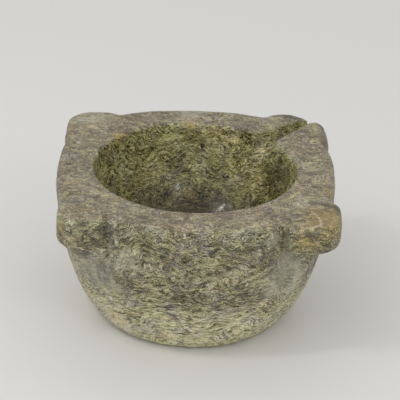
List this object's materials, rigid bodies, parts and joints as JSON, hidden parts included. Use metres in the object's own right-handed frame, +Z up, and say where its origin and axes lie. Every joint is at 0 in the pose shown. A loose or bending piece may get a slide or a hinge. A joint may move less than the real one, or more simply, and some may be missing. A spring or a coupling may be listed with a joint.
{
  "type": "stone mortar",
  "caption": "Carved stone kitchen mortar: a thick-walled round bowl with square lugs at its corners and a pouring spout cut through one of them.",
  "frame": {"origin": "centre of the foot's flat face, on the surface that the mortar rests on", "axes": "+Z up along the bowl's axis, -Y towards the front, with the spout at the corner between +X and +Y"},
  "size_m": [0.2615, 0.259, 0.146],
  "materials": {
    "stone": "worn, half-polished olive green marble with fine curled veins"
  },
  "bodies": {
    "root": {"mortar": "stone"}
  },
  "joints": []
}
